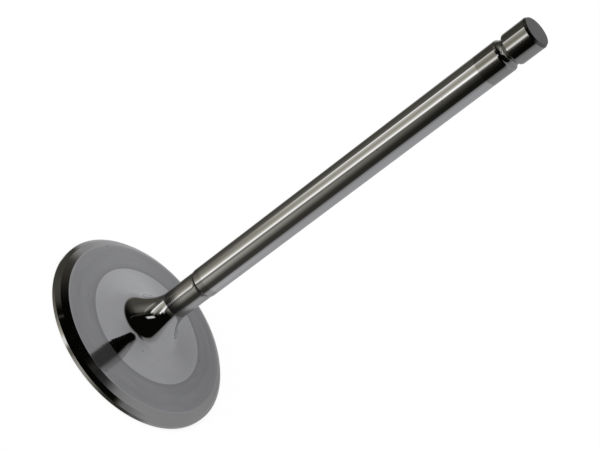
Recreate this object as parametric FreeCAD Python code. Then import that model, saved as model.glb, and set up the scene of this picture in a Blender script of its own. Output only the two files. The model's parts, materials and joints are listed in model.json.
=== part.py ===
import FreeCAD, Part
import math
import os

# An engine valve, turned from one bar and standing on its head.
# Millimetres and degrees. The stem's axis is Z, and the combustion face lies at height 0.

# Whole valve
OVERALL_LENGTH = 134.62
HEAD_DIAMETER = 54.61
STEM_DIAMETER = 7.938

# Rim of the head
RIM_EDGE_BREAK = 0.22
MARGIN_HEIGHT = 1.19
SEAT_WIDTH = 1.03
SEAT_ANGLE = 45.0
BACK_CUT_WIDTH = 1.76
BACK_CUT_ANGLE = 30.0

# Back of the head, a turned outer ring and a polished dish that fills the rest up to the neck
OUTER_RING_WIDTH = 7.68
OUTER_RING_ANGLE = 6.5
DISH_RIM_ANGLE = 7.5
DISH_TOP_ANGLE = 18.3

# Neck, where a small radius off the dish runs into a large radius up the stem
NECK_LOW_RADIUS = 5.9
NECK_HIGH_RADIUS = 12.8
NECK_MEETING_ANGLE = 49.0
NECK_TOP_ANGLE = 87.5

# Undercut below the full stem, with a hollow flare out to the stem at its top
UNDERCUT_DIAMETER = 7.60
UNDERCUT_LENGTH = 9.3
FLARE_LENGTH = 1.6

# Keeper groove, a round-bottomed bead groove with a bevelled lip on each side
TIP_LAND_LENGTH = 6.08
GROOVE_DEPTH = 0.62
GROOVE_OPENING = 1.90
LIP_LENGTH = 0.33
LIP_DEPTH = 0.12

# Tip
TIP_CHAMFER_LENGTH = 0.67
TIP_CHAMFER_DEPTH = 0.36
TIP_EDGE_RADIUS = 0.25


def point(radius, height):
    """A point of the half section."""
    return FreeCAD.Vector(radius, 0, height)


def inward_reach(arc_radius, start_angle, end_angle):
    """How far a hollow arc goes inwards between two climb angles."""
    return arc_radius * (math.sin(math.radians(end_angle)) - math.sin(math.radians(start_angle)))


class HalfSection:
    """The valve's outline on one side of its axis, drawn from point to point."""

    def __init__(self, radius, height):
        self.radius = radius
        self.height = height
        self.edges = []

    def line_to(self, radius, height):
        """A straight run to the given point."""
        start = point(self.radius, self.height)
        self.edges.append(Part.LineSegment(start, point(radius, height)).toShape())
        self.radius = radius
        self.height = height

    def line_by(self, inwards, upwards):
        """A straight run towards the axis and up the stem."""
        self.line_to(self.radius - inwards, self.height + upwards)

    def slope_by(self, inwards, angle):
        """A straight run towards the axis that climbs at an angle."""
        self.line_by(inwards, inwards * math.tan(math.radians(angle)))

    def arc_through(self, middle, end):
        """An arc through a middle point to an end point, each a radius and a height."""
        start = point(self.radius, self.height)
        self.edges.append(Part.Arc(start, point(*middle), point(*end)).toShape())
        self.radius, self.height = end

    def hollow_arc(self, arc_radius, start_angle, end_angle):
        """A hollow arc that steepens from one climb angle to another, going inwards."""
        def place(angle):
            inwards = inward_reach(arc_radius, start_angle, angle)
            fall = math.cos(math.radians(start_angle)) - math.cos(math.radians(angle))
            return self.radius - inwards, self.height + arc_radius * fall
        self.arc_through(place((start_angle + end_angle) / 2), place(end_angle))

    def revolve(self):
        """Closes the outline along the axis and turns it into a solid."""
        self.line_to(0, 0)
        face = Part.Face(Part.Wire(self.edges))
        solid = face.revolve(FreeCAD.Vector(0, 0, 0), FreeCAD.Vector(0, 0, 1), 360)
        return solid


def draw_rim(section):
    """Combustion face, margin, seat and back-cut."""
    head_radius = HEAD_DIAMETER / 2
    section.line_to(head_radius - RIM_EDGE_BREAK, 0)
    section.line_by(-RIM_EDGE_BREAK, RIM_EDGE_BREAK)
    section.line_to(head_radius, MARGIN_HEIGHT)
    section.slope_by(SEAT_WIDTH, SEAT_ANGLE)
    section.slope_by(BACK_CUT_WIDTH, BACK_CUT_ANGLE)


def draw_back_and_neck(section):
    """Turned ring, dish and the two arcs of the neck up to the undercut."""
    section.slope_by(OUTER_RING_WIDTH, OUTER_RING_ANGLE)
    low_arc = (NECK_LOW_RADIUS, DISH_TOP_ANGLE, NECK_MEETING_ANGLE)
    high_arc = (NECK_HIGH_RADIUS, NECK_MEETING_ANGLE, NECK_TOP_ANGLE)
    foot_radius = UNDERCUT_DIAMETER / 2 + inward_reach(*low_arc) + inward_reach(*high_arc)
    dish_reach = section.radius - foot_radius
    dish_radius = dish_reach / inward_reach(1, DISH_RIM_ANGLE, DISH_TOP_ANGLE)
    section.hollow_arc(dish_radius, DISH_RIM_ANGLE, DISH_TOP_ANGLE)
    section.hollow_arc(*low_arc)
    section.hollow_arc(*high_arc)


def draw_stem(section):
    """Undercut, flare and the full stem up to the lower lip of the keeper groove."""
    stem_radius = STEM_DIAMETER / 2
    flare_depth = stem_radius - UNDERCUT_DIAMETER / 2
    flare_radius = (FLARE_LENGTH ** 2 + flare_depth ** 2) / (2 * flare_depth)
    groove_length = GROOVE_OPENING + 2 * LIP_LENGTH
    tip_length = TIP_LAND_LENGTH + TIP_CHAMFER_LENGTH
    section.line_by(0, UNDERCUT_LENGTH)
    half_length = FLARE_LENGTH / 2
    half_depth = flare_radius - math.sqrt(flare_radius ** 2 - half_length ** 2)
    middle = (section.radius + half_depth, section.height + half_length)
    section.arc_through(middle, (stem_radius, section.height + FLARE_LENGTH))
    section.line_to(stem_radius, OVERALL_LENGTH - tip_length - groove_length)


def draw_keeper_groove(section):
    """Bevelled lip, round-bottomed groove and bevelled lip again."""
    stem_radius = section.radius
    section.line_by(LIP_DEPTH, LIP_LENGTH)
    bottom = (stem_radius - GROOVE_DEPTH, section.height + GROOVE_OPENING / 2)
    top = (section.radius, section.height + GROOVE_OPENING)
    section.arc_through(bottom, top)
    section.line_by(-LIP_DEPTH, LIP_LENGTH)


def draw_tip(section):
    """The land above the groove, the chamfer, its rounded edge and the tip face."""
    section.line_by(0, TIP_LAND_LENGTH)
    chamfer_angle = math.atan2(TIP_CHAMFER_LENGTH, TIP_CHAMFER_DEPTH)
    edge_setback = TIP_EDGE_RADIUS * math.tan(chamfer_angle / 2)
    along_depth = edge_setback * math.cos(chamfer_angle)
    along_length = edge_setback * math.sin(chamfer_angle)
    section.line_by(TIP_CHAMFER_DEPTH - along_depth, TIP_CHAMFER_LENGTH - along_length)
    face_edge = section.radius - along_depth - edge_setback
    arc_centre_height = OVERALL_LENGTH - TIP_EDGE_RADIUS
    middle = (face_edge + TIP_EDGE_RADIUS * math.sin(chamfer_angle / 2),
              arc_centre_height + TIP_EDGE_RADIUS * math.cos(chamfer_angle / 2))
    section.arc_through(middle, (face_edge, OVERALL_LENGTH))
    section.line_to(0, OVERALL_LENGTH)


def make_valve():
    """The whole valve as one solid of revolution."""
    section = HalfSection(0, 0)
    draw_rim(section)
    draw_back_and_neck(section)
    draw_stem(section)
    draw_keeper_groove(section)
    draw_tip(section)
    return section.revolve()


os.makedirs("parts", exist_ok=True)
valve = make_valve()
valve.exportStep("parts/valve.step")
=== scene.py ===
import json
import math

import bpy
import numpy as np
from bpy.props import FloatProperty, FloatVectorProperty, IntProperty, PointerProperty
from mathutils import Matrix, Vector


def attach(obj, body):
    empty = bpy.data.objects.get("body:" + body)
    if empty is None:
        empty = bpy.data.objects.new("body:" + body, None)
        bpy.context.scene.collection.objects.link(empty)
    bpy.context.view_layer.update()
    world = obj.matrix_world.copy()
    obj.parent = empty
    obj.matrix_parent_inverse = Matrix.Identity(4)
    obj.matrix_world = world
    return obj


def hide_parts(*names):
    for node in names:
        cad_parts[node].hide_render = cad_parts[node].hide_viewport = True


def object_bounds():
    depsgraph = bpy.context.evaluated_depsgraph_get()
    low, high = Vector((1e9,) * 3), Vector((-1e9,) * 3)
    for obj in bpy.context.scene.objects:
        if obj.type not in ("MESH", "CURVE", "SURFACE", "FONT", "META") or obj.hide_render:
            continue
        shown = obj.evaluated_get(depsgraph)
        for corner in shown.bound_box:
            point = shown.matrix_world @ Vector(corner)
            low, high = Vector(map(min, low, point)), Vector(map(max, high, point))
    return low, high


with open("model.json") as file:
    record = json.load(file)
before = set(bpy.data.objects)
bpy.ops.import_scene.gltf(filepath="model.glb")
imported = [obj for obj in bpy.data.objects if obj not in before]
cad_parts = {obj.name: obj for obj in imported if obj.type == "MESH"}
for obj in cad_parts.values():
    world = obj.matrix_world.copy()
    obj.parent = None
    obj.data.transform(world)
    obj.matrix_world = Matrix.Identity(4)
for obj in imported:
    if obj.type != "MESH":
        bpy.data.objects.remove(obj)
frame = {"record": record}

bl_info = {
    "name": "Engine Valve",
    "version": (1, 0, 0),
    "blender": (4, 5, 0),
    "location": "3D View > Sidebar > Valve",
    "description": "Turns a polished engine valve and sets the stage it stands on",
    "category": "Object",
}

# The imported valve, measured before anything is added to it
CAD_LOW, CAD_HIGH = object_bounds()
STEM_MOUNT = next(mount for mount in frame["record"]["mounts"] if mount["name"] == "stem")
MILLIMETRE = 0.001


def size(name, text, millimetres):
    """A length that the user can change, with its default in millimetres."""
    return FloatProperty(name=name, description=text, default=millimetres * MILLIMETRE,
                         min=0.0, precision=5, unit="LENGTH", subtype="DISTANCE")


def slant(name, text, degrees):
    """An angle that the user can change, with its default in degrees."""
    return FloatProperty(name=name, description=text, default=math.radians(degrees),
                         subtype="ANGLE", unit="ROTATION")


def share(name, text, default):
    """A number from 0 to 1 that the user can change."""
    return FloatProperty(name=name, description=text, default=default, min=0.0, max=1.0,
                         subtype="FACTOR")


def tint(name, text, default):
    """A colour that the user can change."""
    return FloatVectorProperty(name=name, description=text, default=default, size=3,
                               min=0.0, max=1.0, subtype="COLOR")


class VALVE_PG_sizes(bpy.types.PropertyGroup):
    """Sizes of the valve. Its head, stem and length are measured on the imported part."""

    head_radius: size("Head radius", "From the axis to the margin", CAD_HIGH.x / MILLIMETRE)
    length: size("Length", "From the combustion face to the tip", CAD_HIGH.z / MILLIMETRE)
    stem_radius: size("Stem radius", "Of the full stem", STEM_MOUNT["dims"]["r_mm"])
    edge_break: size("Edge break", "Chamfer below the margin", 0.22)
    margin_height: size("Margin height", "Top of the margin above the face", 1.19)
    seat_width: size("Seat width", "Of the ground seat, across the axis", 1.03)
    seat_angle: slant("Seat angle", "Climb of the ground seat", 45.0)
    back_cut_width: size("Back-cut width", "Of the back-cut, across the axis", 1.76)
    back_cut_angle: slant("Back-cut angle", "Climb of the back-cut", 30.0)
    ring_width: size("Ring width", "Of the turned ring, across the axis", 7.68)
    ring_angle: slant("Ring angle", "Climb of the turned ring", 6.5)
    dish_rim_angle: slant("Dish rim angle", "Climb of the polished dish at the ring", 7.5)
    dish_top_angle: slant("Dish top angle", "Climb where the dish meets the neck", 18.3)
    neck_low_radius: size("Neck low radius", "Of the arc off the dish", 5.9)
    neck_high_radius: size("Neck high radius", "Of the arc into the stem", 12.8)
    neck_meeting_angle: slant("Neck meeting angle", "Climb where the arcs meet", 49.0)
    neck_top_angle: slant("Neck top angle", "Climb where the neck meets the undercut", 87.5)
    undercut_radius: size("Undercut radius", "Of the stem below its flare", 3.80)
    undercut_length: size("Undercut length", "From the neck to the flare", 9.3)
    flare_length: size("Flare length", "Of the hollow flare out to the full stem", 1.6)
    bare_length: size("Bare length", "From the flare to the plating", 2.2)
    plain_length: size("Plain length", "Unplated stem, measured from the tip", 14.97)
    tip_length: size("Tip length", "From the groove's upper lip to the tip", 6.75)
    groove_depth: size("Groove depth", "Of the keeper groove below the stem", 0.62)
    groove_opening: size("Groove opening", "Between the inner edges of the lips", 1.90)
    lip_length: size("Lip length", "Of each lip along the stem", 0.33)
    lip_depth: size("Lip depth", "Fall of each lip", 0.12)
    chamfer_length: size("Chamfer length", "Of the tip's chamfer along the stem", 0.67)
    chamfer_depth: size("Chamfer depth", "Of the tip's chamfer across the stem", 0.36)
    tip_rounding: size("Tip rounding", "Of the edge round the tip's face", 0.25)
    edge_rounding: size("Edge rounding", "Of every crisp ground edge", 0.03)
    cut_rounding: size("Back-cut rounding", "Of the edge over the back-cut", 0.12)
    sides: IntProperty(name="Sides", description="Faces round the axis", default=480, min=24)


class VALVE_PG_finish(bpy.types.PropertyGroup):
    """Colours of the valve's finishes."""

    chrome: tint("Chrome", "Hard chrome on the stem", (0.64, 0.64, 0.645))
    polished: tint("Polished steel", "Dish and neck", (0.62, 0.62, 0.625))
    lathed: tint("Lathed steel", "Undercut of the stem", (0.53, 0.525, 0.52))
    turned: tint("Turned steel", "Outer ring of the head's back", (0.39, 0.39, 0.395))
    ground: tint("Ground steel", "Rim and bare stem", (0.48, 0.476, 0.47))
    plain: tint("Plain steel", "Stem above the plating", (0.42, 0.415, 0.405))
    tip: tint("Tip steel", "Ground face of the tip", (0.18, 0.18, 0.18))


class VALVE_PG_stage(bpy.types.PropertyGroup):
    """Camera, floor and light."""

    camera_distance: size("Camera distance", "From the camera to the point it aims at", 398.08)
    camera_azimuth: slant("Camera azimuth", "Turn of the view round the axis", 0.4655)
    camera_elevation: slant("Camera elevation", "Of the camera above the floor", 30.613)
    camera_roll: slant("Camera roll", "Lean of the picture's top to the left", 53.115)
    aim_side: size("Aim aside", "Of the aimed point from the axis", 2.78)
    aim_height: size("Aim height", "Of the aimed point above the floor", 58.08)
    lens: FloatProperty(name="Lens", description="Focal length for a 36 mm sensor",
                        default=100.17, subtype="DISTANCE_CAMERA", unit="CAMERA")
    floor_radius: size("Floor radius", "Of the round floor", 9000.0)
    floor_thickness: size("Floor thickness", "Of the round floor", 20.0)
    floor_colour: tint("Floor colour", "Pale floor", (0.92, 0.92, 0.92))
    floor_glow: share("Floor glow", "White share of the floor as the camera sees it", 0.8)
    sky_level: share("Sky level", "Light from all round", 0.5)
    sun_level: FloatProperty(name="Sun level", description="Strength of the soft key light",
                             default=2.2, min=0.0)
    sun_spread: slant("Sun spread", "Width of the key light, which softens the shadow", 60.0)
    sun_front: slant("Sun front", "Lean of the key light towards the camera", 20.0)
    sun_left: slant("Sun left", "Lean of the key light to the camera's left", 15.0)
    mirrored_radius: size("Mirrored room", "Radius of the room that the metal mirrors", 6000.0)
    sides: IntProperty(name="Sides", description="Faces round the floor and the mirrored room",
                       default=96, min=24)


# Shader maths


class Wire:
    """A node socket that Python's own operators work on, each adding its Math node."""

    def __init__(self, tree, socket):
        self.tree = tree
        self.socket = socket

    def maths(self, operation, *others, clamp=False):
        """The result of a Math node on this value and the others."""
        node = self.tree.nodes.new("ShaderNodeMath")
        node.operation = operation
        node.use_clamp = clamp
        for place, value in zip(node.inputs, (self, *others)):
            plug(self.tree, value, place)
        return Wire(self.tree, node.outputs[0])

    def __add__(self, other):
        return self.maths("ADD", other)

    def __sub__(self, other):
        return self.maths("SUBTRACT", other)

    def __mul__(self, other):
        return self.maths("MULTIPLY", other)

    def __truediv__(self, other):
        return self.maths("DIVIDE", other)

    def __neg__(self):
        return self.maths("MULTIPLY", -1.0)

    def __abs__(self):
        return self.maths("ABSOLUTE")

    def __rsub__(self, other):
        return -self + other

    def __rtruediv__(self, other):
        return self.maths("POWER", -1.0) * other

    __radd__ = __add__
    __rmul__ = __mul__

    def beside(self, *names):
        """The named outputs of the same node."""
        return [Wire(self.tree, self.socket.node.outputs[name]) for name in names]

    def clipped(self):
        """The value held between 0 and 1."""
        return self.maths("ADD", 0.0, clamp=True)

    def rise(self, start, end):
        """0 up to start and 1 from end on, either way round, with a smooth ramp between."""
        ramp = ((self - start) / (end - start)).clipped()
        return ramp * ramp * (3.0 - 2.0 * ramp)

    def within(self, half, soft):
        """1 while the value is nearer to 0 than half, fading to 0 over soft."""
        return 1.0 - abs(self).rise(half - soft / 2, half + soft / 2)


def plug(tree, value, socket):
    """Links a wire to a socket, or sets the socket to a plain value."""
    if isinstance(value, Wire):
        tree.links.new(value.socket, socket)
    else:
        socket.default_value = value


class Shading:
    """The nodes of one material or world."""

    def __init__(self, owner):
        owner.use_nodes = True
        self.tree = owner.node_tree
        self.tree.nodes.clear()

    def node(self, kind, settings=None, inputs=None, output=0):
        """A node of the kind, its settings made first and then its sockets; returns an output."""
        node = self.tree.nodes.new("ShaderNode" + kind)
        for key, value in (settings or {}).items():
            setattr(node, key, value)
        for key, value in (inputs or {}).items():
            plug(self.tree, value, node.inputs[key])
        return Wire(self.tree, node.outputs[output])

    def place(self):
        """The object coordinates in metres, and their x, y and z in millimetres."""
        spot = self.node("TexCoord", output="Object")
        split = self.node("SeparateXYZ", inputs={"Vector": spot})
        return spot, [axis / MILLIMETRE for axis in split.beside("X", "Y", "Z")]

    def noise(self, spot, scale, detail, roughness=0.5):
        """Noise from 0 to 1 over a place."""
        return self.node("TexNoise", {"noise_dimensions": "3D"}, {
            "Vector": spot, "Scale": scale, "Detail": detail, "Roughness": roughness})

    def blend(self, factor, first, second):
        """A colour that goes from the first to the second with the factor.

        A Mix node's sockets have one name for every data type, so its colours go by number.
        """
        ends = [end if isinstance(end, Wire) else (*end, 1.0) for end in (first, second)]
        return self.node("Mix", {"data_type": "RGBA"}, {0: factor, 6: ends[0], 7: ends[1]}, 2)

    def finish(self, shader, kind="OutputMaterial"):
        """Ends the material or world in the shader."""
        end = self.tree.nodes.new("ShaderNode" + kind)
        plug(self.tree, shader, end.inputs["Surface"])


# Surfaces of revolution


# Stations nearer to each other than this, in metres, count as one
SAME_PLACE = 1e-7


def unit(vector):
    """The vector at length one."""
    return vector / np.linalg.norm(vector)


def rounded_outline(corners):
    """Stations along an outline whose corners are rounded.

    A corner is (radius, height, rounding, steps, finish). Its arc has the rounding as radius and
    starts and ends at rounding times the tangent of half the turn from the corner. A station is
    a point and its outward normal, the direction of travel turned a quarter turn clockwise.
    The finish belongs to the arc and to the straight run after it. Stations that aren't ahead
    of the last one are left out, so an edge may be rounded right at the end of an arc.
    """
    points = np.array([corner[:2] for corner in corners], float)
    stations = [points[0]]
    normals = [np.array([0.0, -1.0])]
    finishes = [corners[0][4]]
    for index in range(1, len(points) - 1):
        rounding, steps, finish = corners[index][2:]
        coming = unit(points[index] - points[index - 1])
        going = unit(points[index + 1] - points[index])
        first = math.atan2(coming[1], coming[0])
        turn = math.atan2(coming[0] * going[1] - coming[1] * going[0], coming @ going)
        side = math.copysign(1.0, turn)
        start = points[index] - coming * rounding * math.tan(abs(turn) / 2)
        centre = start + side * rounding * np.array([-coming[1], coming[0]])
        heading = first + turn * np.linspace(0, 1, steps + 1)
        outward = np.stack([np.sin(heading), -np.cos(heading)], axis=1)
        arc = centre + side * rounding * outward
        ahead = (arc - stations[-1]) @ coming > SAME_PLACE
        stations.extend(arc[ahead])
        normals.extend(outward[ahead])
        finishes.extend([finish] * int(ahead.sum()))
    stations.append(points[-1])
    normals.append(np.array([0.0, 1.0]))
    return np.array(stations), np.array(normals), np.array(finishes)


def revolve(name, sides, stations, normals=None, finishes=None):
    """Turns an outline that starts and ends on the axis into a closed mesh object.

    Vertex (i, j) lies at station i's radius times the cosine and sine of j / sides of a full
    turn, at station i's height, and its normal is station i's turned by the same angle. With
    no normals the faces are flat.
    """
    turn = 2 * np.pi * np.arange(sides) / sides
    round_about = np.stack([np.cos(turn), np.sin(turn)], axis=1)

    def spread(pairs):
        """The inner pairs carried round the axis, and after them the two ends as they are."""
        across = pairs[1:-1, None, :1] * round_about
        upright = np.repeat(pairs[1:-1, None, 1:], sides, axis=1)
        rings = np.concatenate([across, upright], axis=2).reshape(-1, 3)
        return np.concatenate([rings, np.insert(pairs[[0, -1]], 1, 0.0, axis=1)])

    count = len(stations) - 2
    here = np.arange(sides)
    after = (here + 1) % sides
    level = sides * np.arange(count - 1)[:, None]
    quads = np.stack([level + here, level + after, level + sides + after, level + sides + here],
                     axis=2).reshape(-1, 4)
    foot = np.full(sides, count * sides)
    last = sides * (count - 1)
    fans = np.concatenate([np.stack([foot, after, here], axis=1),
                           np.stack([last + here, last + after, foot + 1], axis=1)])

    mesh = bpy.data.meshes.new(name)
    mesh.from_pydata(spread(stations).tolist(), [], quads.tolist() + fans.tolist())
    if finishes is not None:
        of_quads = np.repeat(finishes[1:count], sides)
        of_fans = np.repeat(finishes[[0, count]], sides)
        mesh.polygons.foreach_set("material_index", np.concatenate([of_quads, of_fans]))
    if normals is None:
        mesh.shade_flat()
    else:
        mesh.shade_smooth()
        mesh.normals_split_custom_set_from_vertices(spread(normals).tolist())
    mesh.update()
    made = bpy.data.objects.new(name, mesh)
    bpy.context.scene.collection.objects.link(made)
    return made


# Outline of the valve


FINISHES = ("ground", "turned", "polished", "lathed", "bare", "chrome", "plain", "tip")

# Steps in each rounding and arc
EDGE_STEPS = 2
CUT_STEPS = 4
TIP_STEPS = 6
FLARE_STEPS = 10
GROOVE_STEPS = 20
NECK_STEPS = 24


def neck_corners(sizes, radius, height, finish, last_finish):
    """The dish and the neck's two arcs, from the inner edge of the turned ring upwards.

    An arc goes inwards by its radius times the difference of its end angles' sines, and the
    dish's radius is what fills the way to the neck. An arc's corner, where the tangents at its
    ends cross, lies radius times the tangent of half its turn from each end.
    """
    rim = sizes.dish_rim_angle
    foot = sizes.dish_top_angle
    meeting = sizes.neck_meeting_angle
    top = sizes.neck_top_angle
    neck_reach = (sizes.neck_low_radius * (math.sin(meeting) - math.sin(foot))
                  + sizes.neck_high_radius * (math.sin(top) - math.sin(meeting)))
    dish_reach = radius - sizes.undercut_radius - neck_reach
    dish_radius = dish_reach / (math.sin(foot) - math.sin(rim))
    place = np.array([radius, height])
    corners = []
    for arc, start, end in ((dish_radius, rim, foot), (sizes.neck_low_radius, foot, meeting),
                            (sizes.neck_high_radius, meeting, top)):
        setback = arc * math.tan((end - start) / 2)
        place = place + setback * np.array([-math.cos(start), math.sin(start)])
        corners.append((*place, arc, NECK_STEPS, finish))
        place = place + setback * np.array([-math.cos(end), math.sin(end)])
    corners.append((*place, sizes.edge_rounding, EDGE_STEPS, last_finish))
    return corners


def valve_corners(sizes):
    """The half section from the combustion face's centre to the tip's centre.

    Each slope climbs by its width times the tangent of its angle. The flare is an arc that
    leaves the undercut along the stem, so its radius follows from its length and depth. The
    groove's arc has its half opening and its depth as chord and rise. Each arc's corner is where
    the tangents at its ends cross.
    """
    ground, turned, polished, lathed, bare, chrome, plain, tip = range(len(FINISHES))
    head = sizes.head_radius
    stem = sizes.stem_radius
    length = sizes.length
    undercut = sizes.undercut_radius
    edge = sizes.edge_rounding

    seat_rise = sizes.seat_width * math.tan(sizes.seat_angle)
    cut_rise = sizes.back_cut_width * math.tan(sizes.back_cut_angle)
    ring_rise = sizes.ring_width * math.tan(sizes.ring_angle)
    seat = (head - sizes.seat_width, sizes.margin_height + seat_rise)
    cut = (seat[0] - sizes.back_cut_width, seat[1] + cut_rise)
    ring = (cut[0] - sizes.ring_width, cut[1] + ring_rise)
    neck = neck_corners(sizes, *ring, polished, lathed)

    flare_foot = neck[-1][1] + sizes.undercut_length
    flare_top = flare_foot + sizes.flare_length
    flare_depth = stem - undercut
    flare_radius = (sizes.flare_length ** 2 + flare_depth ** 2) / (2 * flare_depth)
    flare_setback = flare_radius * math.tan(math.asin(sizes.flare_length / flare_radius) / 2)

    half = sizes.groove_opening / 2
    groove = length - sizes.tip_length - sizes.lip_length - half
    lip = stem - sizes.lip_depth
    hollow = sizes.groove_depth - sizes.lip_depth
    groove_radius = (half ** 2 + hollow ** 2) / (2 * hollow)
    groove_corner = lip - half * math.tan(math.asin(half / groove_radius))
    return [
        (0.0, 0.0, 0.0, 0, turned),
        (head - sizes.edge_break, 0.0, edge, EDGE_STEPS, ground),
        (head, sizes.edge_break, edge, EDGE_STEPS, ground),
        (head, sizes.margin_height, edge, EDGE_STEPS, ground),
        (*seat, edge, EDGE_STEPS, ground),
        (*cut, sizes.cut_rounding, CUT_STEPS, turned),
        (*ring, 0.0, 0, polished),
        *neck,
        (undercut, flare_foot + flare_setback, flare_radius, FLARE_STEPS, lathed),
        (stem, flare_top, edge, EDGE_STEPS, bare),
        (stem, flare_top + sizes.bare_length, 0.0, 0, chrome),
        (stem, length - sizes.plain_length, 0.0, 0, plain),
        (stem, groove - half - sizes.lip_length, edge, EDGE_STEPS, ground),
        (lip, groove - half, 0.0, 0, ground),
        (groove_corner, groove, groove_radius, GROOVE_STEPS, plain),
        (lip, groove + half, 0.0, 0, ground),
        (stem, groove + half + sizes.lip_length, edge, EDGE_STEPS, plain),
        (stem, length - sizes.chamfer_length, edge, EDGE_STEPS, tip),
        (stem - sizes.chamfer_depth, length, sizes.tip_rounding, TIP_STEPS, tip),
        (0.0, length, 0.0, 0, tip),
    ]


# Finishes of the valve


# Broad tool marks are this many pitches apart, and drift less than fine ones round the axis
BROAD_PITCHES = 7
FINE_DRIFT = 3.0
BROAD_DRIFT = 1.5

# Nearer to the axis than this, in millimetres, a mark's place is taken as this far out
AXIS_GAP = 0.1

# Patches of uneven polish, as noise per metre, and the roughness that they leave and add
MOTTLE_SCALE = 180.0
MOTTLE_LEAST = 0.85
MOTTLE_SPREAD = 0.3

# Small dark pits, where noise per metre climbs over an edge
PIT_SCALE = 1400.0
PIT_EDGE = (0.84, 0.88)
PIT_DARKNESS = 0.6
PIT_COLOUR = (0.05, 0.05, 0.05)

# A quarter turn draws reflections out across the marks, as turned metal does
GRAIN_TURN = 0.25

# Painted light on a finish: start and end in millimetres, and the share of its colour left.
# The ring has painted shade in its crease towards the dish and a painted highlight on its edge
# at the back-cut, and the undercut has painted shade that darkens downwards to the neck.
RING_PAINTED_SHADE_AND_HIGHLIGHT = ((18.2, 17.2, 0.90), (24.1, 24.3, 1.20))
# Painted shade: the undercut's colour darkens downwards to where the stem meets the neck
UNDERCUT_PAINTED_SHADE = ((21.0, 15.0, 0.58),)


def tool_marks(shading, heading, along, pitch, drift):
    """Heights of marks that run round the axis, from -1 to 1, for a distance along the outline.

    The noise reads the distance over the pitch, and the heading from the axis times drift, so
    that a mark fades and returns as it goes round.
    """
    across, away = heading
    spot = shading.node("CombineXYZ", inputs={"X": across * drift, "Y": away * drift,
                                              "Z": along / pitch})
    return shading.noise(spot, 1.0, 3.0, 0.6) * 2.0 - 1.0


def steel(name, colour, roughness, uneven, pitch, depth, facing=False, grain=0.0,
          groove_pitch=1.0, groove_depth=0.0, metallic=1.0, painted_light_bands=()):
    """Bare metal with marks round the axis, their pitch and depth in millimetres.

    The marks follow one another up the axis, or along the radius on a facing surface, which
    looks along the axis. Grooves are a regular wave. Uneven is how far the colour strays, and
    the grain draws reflections out over the marks. A painted light band is (start, end, share):
    from the start to the end the colour comes to its share, painted shade below 1 and a
    painted highlight above 1.
    """
    material = bpy.data.materials.new(name)
    shading = Shading(material)
    place, (x, y, z) = shading.place()
    radius = (x * x + y * y).maths("SQRT").maths("MAXIMUM", AXIS_GAP)
    heading = (x / radius, y / radius)
    along = radius if facing else z

    fine = tool_marks(shading, heading, along, pitch, FINE_DRIFT)
    broad = tool_marks(shading, heading, along, pitch * BROAD_PITCHES, BROAD_DRIFT)
    grooves = (along * (2 * math.pi / groove_pitch) + fine).maths("SINE")
    height = ((fine + broad) * depth + grooves * groove_depth) * MILLIMETRE
    normal = shading.node("Bump", inputs={"Height": height, "Distance": 1.0, "Strength": 1.0})

    shade = shading.blend((0.5 + 0.5 * broad).clipped(),
                          [channel * (1 - uneven) for channel in colour],
                          [min(1.0, channel * (1 + uneven)) for channel in colour])
    # Painted shade and painted highlights, laid over the colour band by band
    for start, end, left in painted_light_bands:
        shade = shading.blend(along.rise(start, end), shade, [channel * left for channel in colour])
    pits = shading.noise(place, PIT_SCALE, 0.0).rise(*PIT_EDGE) * PIT_DARKNESS
    mottle = MOTTLE_LEAST + MOTTLE_SPREAD * shading.noise(place, MOTTLE_SCALE, 2.0)
    shading.finish(shading.node("BsdfPrincipled", inputs={
        "Base Color": shading.blend(pits, shade, PIT_COLOUR), "Metallic": metallic,
        "Roughness": roughness * mottle, "Normal": normal,
        "Anisotropic": grain, "Anisotropic Rotation": GRAIN_TURN if grain else 0.0}))
    return material


def valve_finishes(finish):
    """The valve's materials, in the order of FINISHES."""
    return [
        steel("ground steel", finish.ground, roughness=0.08, uneven=0.08, pitch=0.10,
              depth=0.00015),
        # The turned ring carries painted shade at its crease and a painted highlight at the
        # back-cut
        steel("turned steel", finish.turned, roughness=0.10, uneven=0.18, pitch=0.30,
              depth=0.0002, facing=True, grain=0.8, groove_pitch=0.70, groove_depth=0.0015,
              metallic=0.94, painted_light_bands=RING_PAINTED_SHADE_AND_HIGHLIGHT),
        steel("polished steel", finish.polished, roughness=0.03, uneven=0.05, pitch=0.30,
              depth=0.00006, facing=True),
        # The undercut carries painted shade that darkens towards the neck
        steel("lathed steel", finish.lathed, roughness=0.09, uneven=0.03, pitch=0.25,
              depth=0.00006, grain=0.9, groove_pitch=0.55, groove_depth=0.0015,
              painted_light_bands=UNDERCUT_PAINTED_SHADE),
        steel("bare steel", finish.ground, roughness=0.07, uneven=0.02, pitch=0.25,
              depth=0.0001),
        steel("hard chrome", finish.chrome, roughness=0.05, uneven=0.03, pitch=0.20,
              depth=0.00004),
        steel("plain steel", finish.plain, roughness=0.08, uneven=0.02, pitch=0.15,
              depth=0.0001),
        steel("tip steel", finish.tip, roughness=0.24, uneven=0.06, pitch=0.12,
              depth=0.0002, facing=True),
    ]


class VALVE_OT_turn_valve(bpy.types.Operator):
    """Turns the valve from its outline and gives each ground, turned or plated zone its finish."""

    bl_idname = "valve.turn_valve"
    bl_label = "Turn valve"

    def execute(self, context):
        sizes = context.scene.valve_sizes
        stations, normals, finishes = rounded_outline(valve_corners(sizes))
        valve = revolve("poppet_valve", sizes.sides, stations, normals, finishes)
        for material in valve_finishes(context.scene.valve_finish):
            valve.data.materials.append(material)
        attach(valve, "root")
        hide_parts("valve")
        return {"FINISHED"}


# Stage


WHITE = (1.0, 1.0, 1.0, 1.0)


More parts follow.
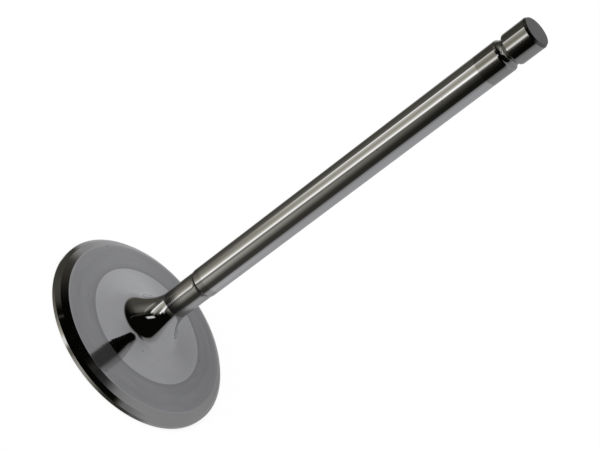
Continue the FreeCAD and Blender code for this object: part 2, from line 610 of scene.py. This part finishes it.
def seen_directly(shading):
    """1 for what the camera sees, mirrored in metal or through glass too, and 0 for light."""
    camera, glossy, through = shading.node("LightPath").beside(
        "Is Camera Ray", "Is Glossy Ray", "Is Transmission Ray")
    return camera.maths("MAXIMUM", glossy).maths("MAXIMUM", through)


def make_floor(stage):
    """A round pale floor at the valve's foot, white to the camera apart from its shadow."""
    radius = stage.floor_radius
    under = -stage.floor_thickness
    slab = np.array([[0.0, under], [radius, under], [radius, 0.0], [0.0, 0.0]])
    floor = revolve("floor", stage.sides, slab)
    material = bpy.data.materials.new("pale floor")
    shading = Shading(material)
    matt = shading.node("BsdfPrincipled", inputs={
        "Base Color": (*stage.floor_colour, 1.0), "Roughness": 1.0, "Specular IOR Level": 0.0})
    white = shading.node("Emission", inputs={"Color": WHITE, "Strength": 1.0})
    glow = seen_directly(shading) * stage.floor_glow
    shading.finish(shading.node("MixShader", inputs={0: glow, 1: matt, 2: white}))
    floor.data.materials.append(material)
    floor.visible_glossy = False


def make_sky(stage):
    """Even light from all round, with a white background."""
    world = bpy.data.worlds.new("studio")
    bpy.context.scene.world = world
    shading = Shading(world)
    level = stage.sky_level + seen_directly(shading) * (1.0 - stage.sky_level)
    sky = shading.node("Background", inputs={"Color": WHITE, "Strength": level})
    shading.finish(sky, "OutputWorld")


def make_sun(stage):
    """A broad soft key light from above the camera's left."""
    data = bpy.data.lights.new("key", "SUN")
    data.energy = stage.sun_level
    data.angle = stage.sun_spread
    sun = bpy.data.objects.new("key", data)
    sun.rotation_euler = (stage.sun_front, -stage.sun_left, 0.0)
    sun.visible_glossy = False
    bpy.context.scene.collection.objects.link(sun)


# The room that the metal mirrors


# A card is (azimuth, elevation, half width, half height, lean, soft width, soft height, level,
# warmth), in degrees. Azimuths turn from +X through +Y, and elevations climb from the horizon.
# A later card lies over the ones before it.
CARDS = {
    "glow of the floor": (300, -40, 60, 14, 0.0, 60, 16, 0.055, 1.0),
    "side panel": (168, -20, 55, 58, -0.6, 14, 34, 0.080, 1.0),
    "foot of the side panel": (200, -40, 24, 14, 0.0, 50, 20, 0.24, 1.0),
    "glow of the side panel": (188, 7, 15, 18, 0.0, 34, 26, 0.20, 1.0),
    "bright end of the side panel": (190, 2, 4, 13, 1.0, 9, 12, 0.45, 0.6),
    "thin bar": (206, 33, 1.2, 26, -0.75, 2.5, 6, 0.08, 1.0),
    "dim panel": (238, -8, 14, 7, 0.6, 8, 8, 0.15, 1.0),
    "front sheet": (262, -42, 19, 13, 0.0, 46, 24, 0.58, 0.6),
    "front panel": (267, -16, 4, 2, 0.5, 4, 3, 0.30, 0.6),
    "gap before the sheet": (254, -30, 3, 14, 1.1, 8, 10, 0.17, 1.0),
    "panel between the strips": (224, -32, 15, 20, 0.9, 13, 22, 0.41, 1.0),
    "glow of the left strip": (215, -13, 11, 18, 0.9, 16, 8, 0.60, 0.9),
    "left strip": (208, -11, 4, 18.5, 0.9, 5, 7, 1.25, 0.1),
    "glow of the right strip": (234, -30, 9, 12, 1.1, 14, 10, 0.72, 0.9),
    "right strip": (242, -28, 5.5, 14, 1.2, 7, 8, 1.38, 0.1),
    "upper end of the right strip": (250, -14.5, 4, 8.5, 0.7, 4, 3, 1.50, 0.1),
    "small lamp": (245, 15.5, 6.5, 7, -1.2, 5, 4, 0.85, 0.1),
}
BACKDROP = {
    "dull strip": (74, 10, 12, 24, 0.0, 24, 30, 0.345, 0.0),
    "bright column": (107, 5, 11, 34, 0.0, 14, 30, 0.55, 0.0),
    "dim right end": (-34, 10, 16, 100, 0.0, 32, 4, 0.25, 0.0),
    "bright foot": (0, -35, 18, 3, 0.0, 24, 5, 0.53, 0.0),
    "dark corner": (338, -44, 18, 6, 0.0, 16, 6, 0.08, 0.0),
    "dim top": (0, 90, 200, 20, 0.0, 2, 28, 0.30, 0.0),
    "dim left end": (132, -34, 14, 10, 0.0, 10, 8, 0.08, 1.0),
    "dark top corner": (305, 78.5, 32, 6, 0.0, 40, 6, 0.04, 0.0),
}

# Level and warmth where no card lies
BARE_ROOM = (0.003, 1.0)
BARE_BACKDROP = (0.43, 0.0)

# The backdrop lies ahead of both planes, each an azimuth and a climb, and fades over its edge
BACKDROP_PLANES = ((58.0, 0.12), (39.0, 0.10))
BACKDROP_EDGE = 0.08

COOL_LIGHT = (0.99, 0.995, 1.02)
WARM_LIGHT = (1.0, 0.965, 0.82)


def paint(cards, azimuth, elevation, light):
    """Lays the cards one after another over a light, which is a level and a warmth."""
    level, warmth = light
    for at, height, wide, tall, lean, soft_w, soft_h, shade, warm in cards.values():
        upwards = elevation - height
        across = (azimuth - at).maths("WRAP", 180.0, -180.0) - upwards * lean
        mask = across.within(wide, soft_w) * upwards.within(tall, soft_h)
        level = level + mask * (shade - level)
        warmth = warmth + mask * (warm - warmth)
    return level, warmth


def make_mirrored_room(stage):
    """A ball round the stage that only the metal's reflections see.

    It is dark, with a few cards and light strips, each a soft-edged patch of azimuth and
    elevation that leans by its lean. A tall pale backdrop closes it behind the valve; it is
    what lies ahead of two planes through the stage's middle, each turned to an azimuth.
    """
    climbs = np.linspace(-np.pi / 2, np.pi / 2, stage.sides // 2 + 1)
    facing = np.stack([np.cos(climbs), np.sin(climbs)], axis=1)
    facing[[0, -1], 0] = 0.0
    room = revolve("mirrored_room", stage.sides, stage.mirrored_radius * facing, facing)
    material = bpy.data.materials.new("mirrored room")
    shading = Shading(material)
    x, y, z = shading.place()[1]
    azimuth = y.maths("ARCTAN2", x) * math.degrees(1)
    climb = z.maths("ARCTAN2", (x * x + y * y).maths("SQRT"))
    elevation = climb * math.degrees(1)

    level, warmth = paint(CARDS, azimuth, elevation, BARE_ROOM)
    pale, pale_warmth = paint(BACKDROP, azimuth, elevation, BARE_BACKDROP)
    backdrop = 1.0
    for turn, slope in BACKDROP_PLANES:
        facing_it = ((azimuth - turn) * math.radians(1)).maths("COSINE") * climb.maths("COSINE")
        ahead = facing_it + slope * climb.maths("SINE")
        backdrop = ahead.rise(-BACKDROP_EDGE, BACKDROP_EDGE) * backdrop
    level = level + backdrop * (pale - level)
    warmth = warmth + backdrop * (pale_warmth - warmth)

    colour = shading.blend(warmth, COOL_LIGHT, WARM_LIGHT)
    light = shading.node("VectorMath", {"operation": "SCALE"}, {0: colour, "Scale": level})
    shading.finish(shading.node("Emission", inputs={"Color": light, "Strength": 1.0}))
    material.cycles.emission_sampling = "NONE"
    room.data.materials.append(material)
    room.visible_camera = False
    room.visible_diffuse = False
    room.visible_transmission = False
    room.visible_shadow = False


def make_camera(stage):
    """The camera of the photograph: it aims at a point near the axis and leans to the left."""
    data = bpy.data.cameras.new("camera")
    data.sensor_width = 36.0
    data.lens = stage.lens
    camera = bpy.data.objects.new("camera", data)
    bpy.context.scene.collection.objects.link(camera)
    level = math.cos(stage.camera_elevation)
    view = Vector((math.sin(stage.camera_azimuth) * level,
                   math.cos(stage.camera_azimuth) * level,
                   -math.sin(stage.camera_elevation)))
    right = view.cross(Vector((0, 0, 1))).normalized()
    up = right.cross(view)
    lean = stage.camera_roll
    top = up * math.cos(lean) - right * math.sin(lean)
    side = view.cross(top)
    aim = Vector((stage.aim_side, 0.0, stage.aim_height))
    turned = Matrix((side, top, -view)).transposed().to_4x4()
    camera.matrix_world = Matrix.Translation(aim - view * stage.camera_distance) @ turned
    bpy.context.scene.camera = camera


class VALVE_OT_set_stage(bpy.types.Operator):
    """Sets the floor, the light, the room that the metal mirrors, and the camera."""

    bl_idname = "valve.set_stage"
    bl_label = "Set stage"

    def execute(self, context):
        stage = context.scene.valve_stage
        make_floor(stage)
        make_sky(stage)
        make_sun(stage)
        make_mirrored_room(stage)
        make_camera(stage)
        context.scene.view_settings.view_transform = "Standard"
        return {"FINISHED"}


# Panel and registration


class VALVE_PT_panel(bpy.types.Panel):
    """Lists the valve's sizes, finishes, stage and steps."""

    bl_label = "Engine valve"
    bl_space_type = "VIEW_3D"
    bl_region_type = "UI"
    bl_category = "Valve"

    def draw(self, context):
        for group in ("valve_sizes", "valve_finish", "valve_stage"):
            settings = getattr(context.scene, group)
            column = self.layout.column()
            for name in settings.bl_rna.properties.keys():
                if name not in ("rna_type", "name"):
                    column.prop(settings, name)
        self.layout.operator(VALVE_OT_turn_valve.bl_idname)
        self.layout.operator(VALVE_OT_set_stage.bl_idname)


CLASSES = (VALVE_PG_sizes, VALVE_PG_finish, VALVE_PG_stage, VALVE_OT_turn_valve,
           VALVE_OT_set_stage, VALVE_PT_panel)


def register():
    for each in CLASSES:
        bpy.utils.register_class(each)
    bpy.types.Scene.valve_sizes = PointerProperty(type=VALVE_PG_sizes)
    bpy.types.Scene.valve_finish = PointerProperty(type=VALVE_PG_finish)
    bpy.types.Scene.valve_stage = PointerProperty(type=VALVE_PG_stage)


def unregister():
    del bpy.types.Scene.valve_stage
    del bpy.types.Scene.valve_finish
    del bpy.types.Scene.valve_sizes
    for each in reversed(CLASSES):
        bpy.utils.unregister_class(each)


def main():
    """Makes everything in order."""
    register()
    bpy.ops.valve.turn_valve()
    bpy.ops.valve.set_stage()


if __name__ == "__main__":
    main()
